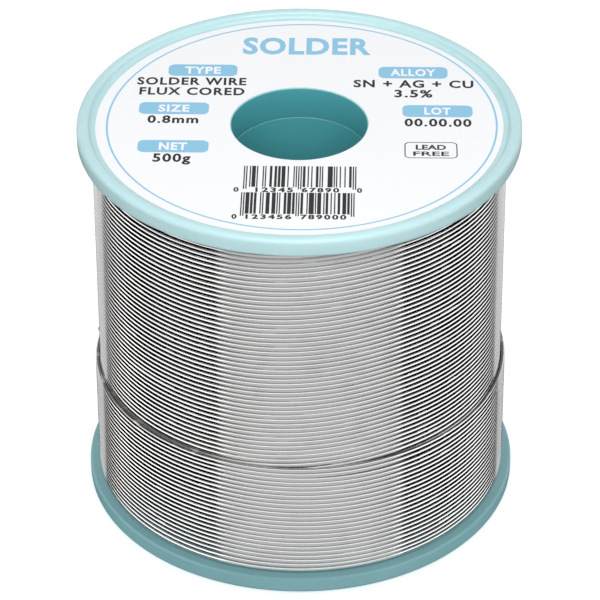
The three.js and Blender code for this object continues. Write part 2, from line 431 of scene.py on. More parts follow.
def moulded_plastic(name, color, pale, roughness):
    graph = Graph(bpy.data.materials.new(name))
    place = graph.add("ShaderNodeTexCoord", output="Object")
    clouds = graph.add("ShaderNodeTexNoise", None, {"Vector": place, "Scale": 90.0, "Detail": 4.0})
    flow = graph.add("ShaderNodeMapping", None, {"Vector": place, "Scale": (60, 60, 1500)})
    streaks = graph.add("ShaderNodeTexNoise", None, {"Vector": flow, "Scale": 1.0, "Detail": 3.0})
    grain = graph.add("ShaderNodeTexNoise", None, {"Vector": place, "Scale": 4200.0, "Detail": 2.0})
    tone = graph.smooth_step(clouds * 0.6 + streaks * 0.4, 0.35, 0.68)
    across = graph.add("ShaderNodeMapping", None, {"Vector": place, "Scale": (1, 1, 0)})
    from_axis = graph.add("ShaderNodeVectorMath", {"operation": "LENGTH"}, {0: across}, output="Value")
    outside_bore = graph.smooth_step(from_axis, BORE_RADIUS, BORE_RADIUS + BORE_PAINTED_SHADE_REACH)
    # Inside the bore the colour turns to the painted shade.
    tint = graph.blend(outside_bore, BORE_PAINTED_SHADE, graph.blend(tone, color, pale))
    gloss = clouds * 0.16 + (roughness - 0.08)
    relief = grain * 0.35 + streaks * 0.65
    bump = graph.add("ShaderNodeBump", None, {"Strength": 0.12, "Distance": 0.02 * MM, "Height": relief})
    shader = graph.add("ShaderNodeBsdfPrincipled", None, {
        "Base Color": tint, "Roughness": gloss, "Normal": bump,
        "IOR": 1.5, "Subsurface Weight": 0.12, "Subsurface Scale": 0.6 * MM,
        "Subsurface Radius": (0.6, 1.0, 1.0),
    })
    graph.add("ShaderNodeOutputMaterial", None, {"Surface": shader})
    return graph.owner


upper_plastic = moulded_plastic(
    "flange_plastic", color=(0.418, 0.62, 0.642, 1), pale=(0.455, 0.655, 0.675, 1), roughness=0.34)
# The lower flange's plastic is a darker copy of the upper's: painted shade, since less light reaches the
# lower flange.
lower_plastic_painted_shade = moulded_plastic(
    "lower_flange_plastic_painted_shade", color=(0.27, 0.56, 0.60, 1), pale=(0.295, 0.59, 0.63, 1), roughness=0.36)
# The core's plastic is a darker copy of the flange plastic too: painted shade for the inside of the spool.
core_plastic = moulded_plastic(
    "core_plastic", color=(0.26, 0.52, 0.525, 1), pale=(0.30, 0.56, 0.565, 1), roughness=0.42)
print("plastics:", upper_plastic.name, lower_plastic_painted_shade.name, core_plastic.name)

# %% [markdown]
# ## Flanges
#
# Both flanges are the same moulding, the upper one turned over. The rim stands round a flat recess for the
# label, and its crown is round so that it doesn't mark a bench. Behind the web, a collar lines the end of
# the bore and a short spigot holds the barrel in the middle. The outline below is the lower flange as it
# lies.

# %% The flange's outline
RIM_STEP_WIDTH = 0.3 * MM
RIM_STEP_HEIGHT = 0.41 * MM
CROWN_SLOPE_WIDTH = 0.18 * MM
CROWN_INNER_ROUND = 0.42 * MM
RIM_OUTER_ROUND = 0.9 * MM
RIM_INNER_ROUND = 0.4 * MM
MOULD_ROUND = 0.15 * MM  # where a mould's corner is only eased

recess_radius = FLANGE_RADIUS - RIM_WIDTH
spigot_outer = BARREL_RADIUS - BARREL_WALL - FIT
spigot_inner = spigot_outer - SPIGOT_WALL
collar_outer = BORE_RADIUS + BORE_WALL
crown_foot = recess_radius + RIM_STEP_WIDTH

flange_outline = [
    (BORE_RADIUS, RECESS_DEPTH, MOULD_ROUND),
    (recess_radius, RECESS_DEPTH, MOULD_ROUND),
    (crown_foot, RECESS_DEPTH - RIM_STEP_HEIGHT, MOULD_ROUND),
    (crown_foot + CROWN_SLOPE_WIDTH, 0, CROWN_INNER_ROUND),
    (FLANGE_RADIUS, 0, RIM_OUTER_ROUND),
    (FLANGE_RADIUS, RIM_THICKNESS, RIM_INNER_ROUND),
    (spigot_outer, RIM_THICKNESS, 0),
    (spigot_outer, RIM_THICKNESS + SPIGOT_LENGTH, MOULD_ROUND),
    (spigot_inner, RIM_THICKNESS + SPIGOT_LENGTH, MOULD_ROUND),
    (spigot_inner, RIM_THICKNESS, MOULD_ROUND),
    (collar_outer, RIM_THICKNESS, MOULD_ROUND),
    (collar_outer, COLLAR_TOP, MOULD_ROUND),
    (BORE_RADIUS, COLLAR_TOP, MOULD_ROUND),
]
print("flange outline:", len(flange_outline), "corners")

# %% [markdown]
# The hole that the wire starts through is cut with a Boolean modifier, which is applied at once. A hole
# could be left open in the spun mesh, but its round edge wouldn't follow the spokes of the spin.

# %% The flange with its start hole
START_ANGLE = math.radians(200)
START_HOLE_RADIUS = 0.9 * MM
START_HOLE_SEGMENTS = 48
START_DISTANCE = BARREL_RADIUS + START_HOLE_RADIUS


def combined(bm, tools, operation):
    """The bmesh after a Boolean with each tool, by modifiers that are applied at once."""
    mesh = bpy.data.meshes.new("work")
    bm.to_mesh(mesh)
    bm.free()
    work = bpy.data.objects.new("work", mesh)
    bpy.context.scene.collection.objects.link(work)
    helpers = [work]
    for tool in tools:
        tool_mesh = bpy.data.meshes.new("tool")
        tool.to_mesh(tool_mesh)
        tool.free()
        helper = bpy.data.objects.new("tool", tool_mesh)
        bpy.context.scene.collection.objects.link(helper)
        helpers.append(helper)
        cut = work.modifiers.new("cut", "BOOLEAN")
        cut.operation = operation
        cut.solver = "EXACT"
        cut.object = helper
    shown = work.evaluated_get(bpy.context.evaluated_depsgraph_get())
    result = bmesh.new()
    result.from_mesh(shown.to_mesh())
    for helper in helpers:
        bpy.data.objects.remove(helper)
    return result


def make_flange():
    hole = bmesh.new()
    bmesh.ops.create_cone(
        hole, cap_ends=True, segments=START_HOLE_SEGMENTS, radius1=START_HOLE_RADIUS,
        radius2=START_HOLE_RADIUS, depth=4 * RIM_THICKNESS,
    )
    hole_place = round_place(START_DISTANCE, START_ANGLE, RIM_THICKNESS)
    bmesh.ops.translate(hole, verts=hole.verts, vec=hole_place)
    return combined(spun(flange_outline), [hole], "DIFFERENCE")


# The lower flange gets the darker copy of the plastic, as painted shade.
finish_piece("spool_lower_flange", make_flange(), lower_plastic_painted_shade, ["lower_flange"])

upper = make_flange()
turned_over = Matrix.Translation((0, 0, SPOOL_HEIGHT)) @ Matrix.Rotation(math.pi, 4, "X")
bmesh.ops.transform(upper, matrix=turned_over, verts=upper.verts)
finish_piece("spool_upper_flange", upper, upper_plastic, ["upper_flange"])

# %% [markdown]
# ## Core
#
# The barrel carries the wire and the bore tube carries the spindle. Six ribs join them, and the flanges close
# both ends. Only the inside of the bore shows.

# %% Core
RIB_COUNT = 6
RIB_THICKNESS = 1.4 * MM

barrel_bottom = WINDING_FLOOR + FIT
tube_bottom = COLLAR_TOP + FIT


def tube_outline(inner, outer, bottom, top, size):
    """The outline of a tube, with one size of round on all its corners."""
    return [(inner, bottom, size), (outer, bottom, size), (outer, top, size), (inner, top, size)]


def make_rib(number):
    reach_from = BORE_RADIUS + BORE_WALL / 2
    reach_to = BARREL_RADIUS - BARREL_WALL / 2
    size = (RIB_THICKNESS, reach_to - reach_from, SPOOL_HEIGHT - 2 * tube_bottom)
    rib = bmesh.new()
    bmesh.ops.create_cube(rib, size=1)
    bmesh.ops.scale(rib, verts=rib.verts, vec=size)
    bmesh.ops.translate(rib, verts=rib.verts, vec=(0, (reach_from + reach_to) / 2, SPOOL_HEIGHT / 2))
    turn = Matrix.Rotation(2 * math.pi * number / RIB_COUNT, 3, "Z")
    bmesh.ops.rotate(rib, verts=rib.verts, cent=(0, 0, 0), matrix=turn)
    return rib


barrel = spun(tube_outline(
    BARREL_RADIUS - BARREL_WALL, BARREL_RADIUS, barrel_bottom, SPOOL_HEIGHT - barrel_bottom, MOULD_ROUND))
tube = spun(tube_outline(
    BORE_RADIUS, BORE_RADIUS + BORE_WALL, tube_bottom, SPOOL_HEIGHT - tube_bottom, MOULD_ROUND))
core = combined(barrel, [tube] + [make_rib(number) for number in range(RIB_COUNT)], "UNION")
finish_piece("spool_core", core, core_plastic, ["core"])

# %% [markdown]
# ## Label
#
# The label is a die-cut ring of coated paper, stuck down in the upper recess. It is spun like the
# mouldings, and its finish has a faint tooth, since a coated paper is smooth but never a mirror.

# %% Label
LABEL_HOLE_RADIUS = BORE_RADIUS + 0.2 * MM


def coated_paper():
    graph = Graph(bpy.data.materials.new("coated_paper"))
    place = graph.add("ShaderNodeTexCoord", output="Object")
    fibres = graph.add("ShaderNodeTexNoise", None, {"Vector": place, "Scale": 2600.0, "Detail": 4.0})
    clouds = graph.add("ShaderNodeTexNoise", None, {"Vector": place, "Scale": 70.0, "Detail": 2.0})
    tint = graph.blend(fibres * 0.5 + clouds * 0.5, (0.80, 0.81, 0.835, 1), (0.84, 0.85, 0.865, 1))
    bump = graph.add("ShaderNodeBump", None, {"Strength": 0.08, "Distance": 0.01 * MM, "Height": fibres})
    gloss = clouds * 0.1 + 0.42
    shader = graph.add("ShaderNodeBsdfPrincipled", None, {
        "Base Color": tint, "Roughness": gloss, "Normal": bump, "Specular IOR Level": 0.35})
    graph.add("ShaderNodeOutputMaterial", None, {"Surface": shader})
    return graph.owner


label = spun(tube_outline(LABEL_HOLE_RADIUS, LABEL_RADIUS, LABEL_BOTTOM, LABEL_TOP, 0))
finish_piece("label_paper_ring", label, coated_paper(), ["label"])

# %% [markdown]
# ## What is printed on the label
#
# Everything on the label is generic: what the product is, its size and weight, an empty lot number and
# sample digits under random bars. Print has almost no thickness, yet as thin slabs it stays
# sharp at any distance, which a drawn pattern wouldn't. Ink of one colour is one piece.

# %% Shapes of ink
INK_THICKNESS = 0.006 * MM
INK_GAP = 0.003 * MM  # between the layers of ink, so that none share a plane
PRINT_TURN = math.radians(-1.3)  # labels are stuck on by hand, so the print is never quite square
LETTER_RESOLUTION = 3
LETTER_MERGE_DISTANCE = 0.0001  # of the type's height, before it is scaled
CORNER_POINTS = 8


def slab(width, height, corner=0.0):
    """A thin plate round the origin, with its corners rounded."""
    bm = bmesh.new()
    bmesh.ops.create_grid(bm, x_segments=1, y_segments=1, size=0.5)
    bmesh.ops.scale(bm, verts=bm.verts, vec=(width, height, 1))
    if corner:
        bmesh.ops.bevel(
            bm, geom=bm.verts[:], offset=corner, segments=CORNER_POINTS, profile=0.5, affect="VERTICES",
            material=-1,
        )
    bmesh.ops.solidify(bm, geom=bm.faces[:], thickness=INK_THICKNESS)
    bmesh.ops.recalc_face_normals(bm, faces=bm.faces[:])
    return bm


def letters(text, width, height, weight=0.0, spacing=1.0):
    """A line of text as a thin plate round the origin, fitted to a width and a height."""
    line = bpy.data.curves.new("line", "FONT")
    line.body = text
    line.offset = weight
    line.space_character = spacing
    line.extrude = 0.5
    line.resolution_u = LETTER_RESOLUTION
    holder = bpy.data.objects.new("line", line)
    bpy.context.scene.collection.objects.link(holder)
    shown = holder.evaluated_get(bpy.context.evaluated_depsgraph_get())
    bm = bmesh.new()
    bm.from_mesh(shown.to_mesh())
    bpy.data.objects.remove(holder)
    bmesh.ops.remove_doubles(bm, verts=bm.verts, dist=LETTER_MERGE_DISTANCE)
    low = Vector([min(vert.co[axis] for vert in bm.verts) for axis in range(3)])
    high = Vector([max(vert.co[axis] for vert in bm.verts) for axis in range(3)])
    size = high - low
    bmesh.ops.translate(bm, verts=bm.verts, vec=-(low + high) / 2)
    bmesh.ops.scale(bm, verts=bm.verts, vec=(width / size.x, height / size.y, INK_THICKNESS / size.z))
    bmesh.ops.recalc_face_normals(bm, faces=bm.faces[:])
    return bm


def print_on(ink, shape, place, layer=0):
    """Adds a shape to a colour of ink, with its middle at a place on the label in millimetres."""
    height = LABEL_TOP + INK_GAP + INK_THICKNESS / 2 + layer * (INK_GAP + INK_THICKNESS)
    turn = Matrix.Rotation(PRINT_TURN, 4, "Z")
    centre = Matrix.Translation((place[0] * MM, place[1] * MM, height))
    bmesh.ops.transform(shape, matrix=centre @ turn, verts=shape.verts)
    mesh = bpy.data.meshes.new("shape")
    shape.to_mesh(mesh)
    shape.free()
    ink.from_mesh(mesh)


# %% [markdown]
# A printed bar code is a row of bars and gaps whose widths are whole modules. Two thin guard bars stand at
# each end and in the middle, and reach down between the digits. The widths between them come from a seeded
# random draw, so that the code says nothing.

# %% Bar codes
DIGITS_IN_HALF = 6
MODULES_IN_DIGIT = 7
WIDTHS_IN_DIGIT = 4  # two bars and two gaps
INK_SPREAD = 1.08  # a printed bar is a little wider than its modules
GUARD_REACH = 0.1  # of the bars' height
DIGIT_HEIGHT = 1.25 * MM
DIGIT_DROP = 0.75  # millimetres from the bars to the middle of the digits
draw = random.Random(8)


def random_half():
    """The widths of the bars and gaps of six digits, in modules."""
    widths = []
    for _ in range(DIGITS_IN_HALF):
        cuts = sorted(draw.sample(range(1, MODULES_IN_DIGIT), WIDTHS_IN_DIGIT - 1))
        widths += [high - low for low, high in zip([0] + cuts, cuts + [MODULES_IN_DIGIT])]
    return widths


def print_bar_code(ink, place, size, digits):
    """Bars round a place, and below them lines of digits: each is (text, its middle and its width)."""
    width, height = size
    left, middle, right = [1] * 3, [1] * 5, [1] * 3
    widths = left + random_half() + middle + random_half() + right
    before_middle = len(left) + WIDTHS_IN_DIGIT * DIGITS_IN_HALF
    guards = {0, 2, before_middle + 1, before_middle + 3, len(widths) - 3, len(widths) - 1}
    module = width / sum(widths)
    reach = height * GUARD_REACH
    edge = -width / 2
    for number, modules in enumerate(widths):
        if number % 2 == 0:
            longer = reach if number in guards else 0
            bar = slab(modules * module * INK_SPREAD * MM, (height + longer) * MM)
            across = edge + modules * module / 2
            middle_of_bar = Matrix.Rotation(PRINT_TURN, 2) @ Vector((across, -longer / 2))
            print_on(ink, bar, Vector(place) + middle_of_bar)
        edge += modules * module
    for text, share, length in digits:
        below = Matrix.Rotation(PRINT_TURN, 2) @ Vector((width * (share - 0.5), -height / 2 - DIGIT_DROP))
        line = letters(text, length, DIGIT_HEIGHT, weight=0.04, spacing=1.3)
        print_on(ink, line, Vector(place) + below)


# %% [markdown]
# The fields of the label are pairs: a blue plate with a white word, and one or two lines of black type under
# it. They are listed once, and a loop prints them. Places are in millimetres from the axis.

# %% Print the label
PLATE_WIDTH = 10.35 * MM
PLATE_HEIGHT = 3.35 * MM
PLATE_CORNER = 1.0 * MM
PLATE_WORD_HEIGHT = 2.05 * MM
TYPE_HEIGHT = 2.2 * MM
TYPE_HEIGHT_WITH_TAIL = 3.0 * MM
HEADING_WIDTH = 19.4 * MM
HEADING_HEIGHT = 5.1 * MM
RING_RADIUS = 28.5 * MM
RING_LINE = 0.28 * MM

blue_ink = bmesh.new()
white_ink = bmesh.new()
black_ink = bmesh.new()

print_on(blue_ink, letters("SOLDER", HEADING_WIDTH, HEADING_HEIGHT, weight=0.035, spacing=1.08), (1.2, 22.2))
ring = spun(tube_outline(RING_RADIUS, RING_RADIUS + RING_LINE, -INK_THICKNESS / 2, INK_THICKNESS / 2, 0))
print_on(blue_ink, ring, (0.36, 0.1))

plates = [
    ("TYPE", 5.4, (-14.46, 15.23)), ("SIZE", 4.6, (-18.54, 4.32)), ("NET", 4.1, (-18.41, -6.28)),
    ("ALLOY", 6.8, (17.10, 14.28)), ("LOT", 3.9, (20.41, 3.19)),
]
for word, width, place in plates:
    print_on(blue_ink, slab(PLATE_WIDTH, PLATE_HEIGHT, PLATE_CORNER), place)
    plate_word = letters(word, width * MM, PLATE_WORD_HEIGHT, weight=0.035, spacing=1.12)
    print_on(white_ink, plate_word, place, layer=1)

lines = [
    ("SOLDER WIRE", 16.3, (-16.05, 12.04)), ("FLUX CORED", 15.65, (-15.98, 9.15)),
    ("0.8mm", 7.5, (-18.61, 1.21)), ("500g", 5.5, (-18.54, -9.75)),
    ("SN + AG + CU", 17.9, (17.08, 11.0)), ("3.5%", 5.65, (17.0, 8.2)),
    ("00.00.00", 9.84, (20.38, -0.04)),
]
for text, width, place in lines:
    height = TYPE_HEIGHT_WITH_TAIL if "g" in text else TYPE_HEIGHT
    print_on(black_ink, letters(text, width * MM, height, weight=0.03, spacing=1.15), place)

print("ink so far:", len(black_ink.faces), "black faces,", len(blue_ink.faces), "blue faces")

# %% Box and bar codes
BOX_WIDTH = 7.7 * MM
BOX_HEIGHT = 4.37 * MM
BOX_CORNER = 0.8 * MM
BOX_LINE = 0.16 * MM
BAR_CODE_SIZE = (16.2, 5.6)  # millimetres
SINGLE_DIGIT = 0.75 * MM


def outline(width, height, corner, line):
    """The edge of a rounded plate: an inset leaves it when the middle is taken out."""
    bm = bmesh.new()
    bmesh.ops.create_grid(bm, x_segments=1, y_segments=1, size=0.5)
    bmesh.ops.scale(bm, verts=bm.verts, vec=(width, height, 1))
    bmesh.ops.bevel(
        bm, geom=bm.verts[:], offset=corner, segments=CORNER_POINTS, profile=0.5, affect="VERTICES",
        material=-1,
    )
    edge = bmesh.ops.inset_individual(bm, faces=bm.faces[:], thickness=line)["faces"]
    middle = [face for face in bm.faces if face not in edge]
    bmesh.ops.delete(bm, geom=middle, context="FACES")
    bmesh.ops.solidify(bm, geom=bm.faces[:], thickness=INK_THICKNESS)
    bmesh.ops.recalc_face_normals(bm, faces=bm.faces[:])
    return bm


print_on(black_ink, outline(BOX_WIDTH, BOX_HEIGHT, BOX_CORNER, BOX_LINE), (19.11, -7.63))
print_on(black_ink, letters("LEAD", 4.4 * MM, 1.35 * MM, weight=0.03), (19.12, -6.85))
print_on(black_ink, letters("FREE", 5.2 * MM, 1.15 * MM, weight=0.02), (19.1, -8.6))

upper_digits = [
    ("0", -0.06, SINGLE_DIGIT), ("12345", 0.277, 5.4 * MM), ("67890", 0.685, 5.4 * MM),
    ("0", 1.03, SINGLE_DIGIT),
]
lower_digits = [("0", -0.05, SINGLE_DIGIT), ("123456", 0.25, 6.5 * MM), ("789000", 0.73, 6.5 * MM)]
print_bar_code(black_ink, (0.06, -14.65), BAR_CODE_SIZE, upper_digits)
print_bar_code(black_ink, (-0.3, -21.7), BAR_CODE_SIZE, lower_digits)

inks = [
    ("label_print_blue", blue_ink, (0.245, 0.505, 0.69, 1)),
    ("label_print_white", white_ink, (0.82, 0.84, 0.87, 1)),
    ("label_print_black", black_ink, (0.012, 0.012, 0.013, 1)),
]
for name, ink, color in inks:
    finish_piece(name, ink, plain_material(name, color, 0.45))

# %% [markdown]
# ## Solder wire
#
# Fresh solder is drawn through a die, which leaves a bright skin with fine scratches along the wire and a
# slight cloudiness where it has been handled. The scratches follow the turns, so the pattern is stretched
# round the axis and squeezed along Z. The reflection does the rest, so colour and roughness vary only a
# little.
#
# In the notch above the last layer a band of painted shade darkens the wire. It is a band in height that
# follows the top turn round the front, fainter in the middle, and it darkens, browns and dulls what it
# covers.

# %% Drawn wire
LAST_TURN = 23
NOTCH_HEIGHT = WINDING_FLOOR + 2 * WIRE_RADIUS + LAST_TURN * TURN_PITCH  # of the last turn's top, in front
# The band of painted shade in the notch: its height, its edge and how strong it is round the turn.
NOTCH_SHADE_BELOW = 0.07 * MM
NOTCH_SHADE_ABOVE = 0.2 * MM
NOTCH_SHADE_EDGE = 0.03 * MM
NOTCH_SHADE_IN_MIDDLE = 0.15  # how much it covers at the front
NOTCH_SHADE_GAIN = 0.75  # how much more beyond the front
FAINT_TO = 0.03  # of a turn from the front, as the next three are
STRONG_FROM = 0.09
NOTCH_SHADE_END_FROM = 0.26
NOTCH_SHADE_END_TO = 0.31


def notch_painted_shade(graph, place):
    """How much painted shade darkens the wire in the notch, from 0 to 1."""
    east = graph.add("ShaderNodeSeparateXYZ", None, {0: place})
    bearing = east.math("ARCTAN2", east, 0 - graph.another(east, "Y"))
    from_front = bearing.math("ABSOLUTE", bearing) / (2 * math.pi)
    above_notch = graph.another(east, "Z") - bearing * (TURN_PITCH / (2 * math.pi)) - NOTCH_HEIGHT
    from_middle = above_notch - (NOTCH_SHADE_ABOVE - NOTCH_SHADE_BELOW) / 2
    off_middle = from_middle.math("ABSOLUTE", from_middle)
    half = (NOTCH_SHADE_ABOVE + NOTCH_SHADE_BELOW) / 2
    band = 1 - graph.smooth_step(off_middle, half - NOTCH_SHADE_EDGE, half + NOTCH_SHADE_EDGE)
    strength = graph.smooth_step(from_front, FAINT_TO, STRONG_FROM) * NOTCH_SHADE_GAIN + NOTCH_SHADE_IN_MIDDLE
    ends = 1 - graph.smooth_step(from_front, NOTCH_SHADE_END_FROM, NOTCH_SHADE_END_TO)
    blots = graph.add("ShaderNodeTexNoise", None, {"Vector": place, "Scale": 420.0, "Detail": 3.0})
    return band * strength * ends * graph.smooth_step(blots, 0.15, 0.5)


def drawn_wire():
    graph = Graph(bpy.data.materials.new("solder"))
    place = graph.add("ShaderNodeTexCoord", output="Object")
    along = graph.add("ShaderNodeMapping", None, {"Vector": place, "Scale": (140, 140, 9000)})
    scratches = graph.add("ShaderNodeTexNoise", None, {"Vector": along, "Scale": 1.0, "Detail": 2.0})
    patches = graph.add("ShaderNodeTexNoise", None, {"Vector": place, "Scale": 260.0, "Detail": 4.0})
    dull = graph.smooth_step(patches, 0.5, 0.8)
    notch_shade = notch_painted_shade(graph, place)
    bare = graph.blend(dull, (0.765, 0.763, 0.76, 1), (0.71, 0.709, 0.705, 1))
    # The painted shade in the notch darkens and browns the bare metal here.
    tint = graph.blend(notch_shade, bare, (0.055, 0.051, 0.046, 1))
    gloss = dull * 0.05 + scratches * 0.05 + notch_shade * 0.15 + 0.05
    bump = graph.add("ShaderNodeBump", None, {"Strength": 0.03, "Distance": 0.01 * MM, "Height": scratches})
    shader = graph.add("ShaderNodeBsdfPrincipled", None, {
        "Base Color": tint, "Roughness": gloss, "Normal": bump, "Metallic": 1.0,
    })
    graph.add("ShaderNodeOutputMaterial", None, {"Surface": shader})
    return graph.owner


solder = drawn_wire()
print("solder:", len(solder.node_tree.nodes), "nodes")

# %% [markdown]
# ## Winding
#
# The wire lies in turns side by side. A picture of lines on a cylinder would lose the round of each turn, and
# with it every highlight, so the turns are real: a small circle is spun once round the axis while it climbs
# by one pitch, and that turn is copied up the spool and joined to the next.
#
# A turn doesn't climb evenly, so each ring of the mesh is then moved. The lay of a layer is a function that
# says where the middle of the wire is after so many turns, counted from the front: its distance from the
# axis and its height.

# %% Wire that is wound round the spool
WIRE_SIDES = 12
STEPS_PER_TURN = 96
TURN_MERGE_DISTANCE = 0.001 * MM


def wound(lay, first_turn, last_turn):
    """Wire with open ends, from one turn to another, whose middle follows a lay."""
    bm = bmesh.new()
    turn_of = bm.verts.layers.float.new("turn")
    distance = lay(first_turn)[0]
    bmesh.ops.create_circle(bm, segments=WIRE_SIDES, radius=WIRE_RADIUS)
    bmesh.ops.rotate(bm, verts=bm.verts, cent=(0, 0, 0), matrix=Matrix.Rotation(math.pi / 2, 3, "Y"))
    bmesh.ops.translate(bm, verts=bm.verts, vec=(0, -distance, 0))
    bmesh.ops.spin(
        bm, geom=bm.verts[:] + bm.edges[:], cent=(0, 0, 0), axis=(0, 0, 1), angle=2 * math.pi,
        steps=STEPS_PER_TURN, dvec=(0, 0, TURN_PITCH / STEPS_PER_TURN),
    )
    for number, vert in enumerate(bm.verts):
        vert[turn_of] = number // WIRE_SIDES / STEPS_PER_TURN
    one_turn = bm.verts[:] + bm.edges[:] + bm.faces[:]
    turns = range(math.floor(first_turn), math.ceil(last_turn))
    for number in turns[1:]:
        copied = bmesh.ops.duplicate(bm, geom=one_turn)["geom"]
        for vert in copied:
            if isinstance(vert, bmesh.types.BMVert):
                vert.co.z += (number - turns[0]) * TURN_PITCH
                vert[turn_of] += number - turns[0]
    margin = 0.5 / STEPS_PER_TURN
    for vert in bm.verts:
        vert[turn_of] += turns[0]
    spare = [vert for vert in bm.verts if not first_turn - margin < vert[turn_of] < last_turn + margin]
    bmesh.ops.delete(bm, geom=spare, context="VERTS")
    for vert in bm.verts:
        turn = vert[turn_of]
        new_distance, new_height = lay(turn)
        outwards = Vector((vert.co.x, vert.co.y, 0)).normalized()
        vert.co += outwards * (new_distance - distance)
        vert.co.z += new_height - (turn - turns[0]) * TURN_PITCH
    bmesh.ops.remove_doubles(bm, verts=bm.verts, dist=TURN_MERGE_DISTANCE)
    return bm


def close_ends(bm):
    """The same bmesh with its open ends filled and its faces pointing outwards."""
    bmesh.ops.holes_fill(bm, edges=[edge for edge in bm.edges if edge.is_boundary], sides=0)
    bmesh.ops.recalc_face_normals(bm, faces=bm.faces[:])
    return bm


# %% [markdown]
# The lay is a sum of plain steps and waves. smooth() rises from 0 to 1 between two values. In the last full
# layer the wire lies in a groove of the layer below for most of a turn, and crosses over the turns under it
# in one stretch at the front, so the crossing is one such rise, with the same fall spread over the back. The
# small waves are the wander of a wire laid by machine: their lengths don't divide a turn, so neighbouring
# turns differ a little.

# %% How the last full layer lies
CROSSING_FROM = math.radians(-22)
CROSSING_TO = math.radians(32)
CROSSING_RISE = 1.5 * TURN_PITCH
RETURN_FROM = math.radians(100)
RETURN_TO = math.radians(260)
WANDER = 0.006 * MM


def smooth(value, low, high):
    share = min(max((value - low) / (high - low), 0), 1)
    return share * share * (3 - 2 * share)


def crossing(turn):
    """How far the wire has climbed over the turns below, at a place in its turn."""
    angle = (turn % 1) * 2 * math.pi
    rise = 0
    for around in (-2 * math.pi, 0, 2 * math.pi):
        rise += smooth(angle + around, CROSSING_FROM, CROSSING_TO)
        rise -= smooth(angle + around, RETURN_FROM, RETURN_TO)
    return rise * CROSSING_RISE


def wander(turn):
    """Three small waves: each is (waves in a turn, share, start)."""
    waves = [(2.37, 1.0, 0.0), (5.83, 0.6, 1.1), (0.319, 0.5, 0.4)]
    return WANDER * sum(share * math.sin(2 * math.pi * turn * speed + start) for speed, share, start in waves)


lowest = WINDING_FLOOR + WIRE_RADIUS
highest = WINDING_CEILING - WIRE_RADIUS
full_turns = (highest - lowest) / TURN_PITCH


def full_lay(turn):
    height = lowest + turn * TURN_PITCH + crossing(turn) - CROSSING_RISE / 2 + wander(turn)
    return FULL_RADIUS - WIRE_RADIUS, min(max(height, lowest), highest)


full_layer = close_ends(wound(full_lay, -1, full_turns + 1))
finish_piece("wire_full_layer", full_layer, solder, ["wire_layer_14"])

# %% [markdown]
# The last layer was stopped after a third of the height. It rises out of the layer below at the back, its
# first turn lies against the flange, and each turn passes to the next height at the back too. Its top turn
# lies a little apart from the others, level at the front, and climbs away behind, where it becomes the free
# end. Lengths along the wire are in turns.

# %% The last layer
LAST_LAYER_START = -0.5
LAST_LAYER_RISE = 0.12
STEP_FROM = 0.35
STEP_TO = 0.65
EVEN_FROM = LAST_TURN - 1  # the steps have faded out by here
SWAY = 0.15 * MM  # three slow waves round each turn
SWAY_FULL_FROM = 2
STRAIGHT_FROM = LAST_TURN - 1.5
STRAIGHT_TO = LAST_TURN - 0.7
TOP_TURN_LIFT = 0.05 * MM
LIFT_FROM = LAST_TURN - 0.7
LIFT_TO = LAST_TURN - 0.3
LOWER_FROM = LAST_TURN - 0.25
LOWER_TO = LAST_TURN + 0.2
CLIMB_FROM = LAST_TURN + 0.22
WANDER_SHIFT = 5  # so that the two layers don't wander together
FREE_END_ANGLE = 150 / 360
FREE_END_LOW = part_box("wire_free_end")[0].z + WIRE_RADIUS
free_end_start = LAST_TURN + FREE_END_ANGLE


def last_lay(turn):
    angle = (turn % 1) * 2 * math.pi
    stepped = math.floor(turn) + smooth(turn % 1, STEP_FROM, STEP_TO)
    even = lowest + TURN_PITCH * (turn + (stepped - turn) * (1 - smooth(turn, 0, EVEN_FROM)))
    waves = wander(turn + WANDER_SHIFT) - SWAY * math.sin(3 * angle) * smooth(turn, 0, SWAY_FULL_FROM)
    lift = TOP_TURN_LIFT * (smooth(turn, LIFT_FROM, LIFT_TO) - smooth(turn, LOWER_FROM, LOWER_TO))
    climb = smooth(turn, CLIMB_FROM, free_end_start)
    height = even + waves * (1 - smooth(turn, STRAIGHT_FROM, STRAIGHT_TO)) + lift
    height += climb * (FREE_END_LOW - height)
    risen = smooth(turn, LAST_LAYER_START, LAST_LAYER_START + LAST_LAYER_RISE)
    return FULL_RADIUS - WIRE_RADIUS + risen * (LAST_RADIUS - FULL_RADIUS), max(height, lowest)


last_layer = close_ends(wound(last_lay, LAST_LAYER_START, free_end_start))
finish_piece("wire_last_layer", last_layer, solder, ["wire_layer_15"])

# %% [markdown]
# ## Free end
#
# The free end lies on the crowns of the turns below and rises slowly. Where it is cut, it shows that the
# wire is a tube with a core of flux. The cut face is inset and its middle pushed in, and the flux is a short
# rod in that hole, a little short of the cut.

# %% Free end with its cored cut
FREE_END_STOP = 262 / 360
FREE_END_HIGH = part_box("wire_free_end")[1].z - WIRE_RADIUS
FREE_END_DISTANCE = FULL_RADIUS + WIRE_RADIUS + FIT
FREE_END_SETTLES = 0.06
FLUX_CLEARANCE = 0.03 * MM
FLUX_HOLE_RADIUS = FLUX_RADIUS + FLUX_CLEARANCE
FLUX_HOLE_DEPTH = 1.2 * MM
FLUX_SHORT_OF_CUT = 0.05 * MM
FLUX_SEGMENTS = 24


def free_lay(turn):
    share = smooth(turn, free_end_start, LAST_TURN + FREE_END_STOP)
    seat = smooth(turn, free_end_start, free_end_start + FREE_END_SETTLES)
    start = LAST_RADIUS - WIRE_RADIUS
    height = FREE_END_LOW + share * (FREE_END_HIGH - FREE_END_LOW)
    return start + seat * (FREE_END_DISTANCE - start), height


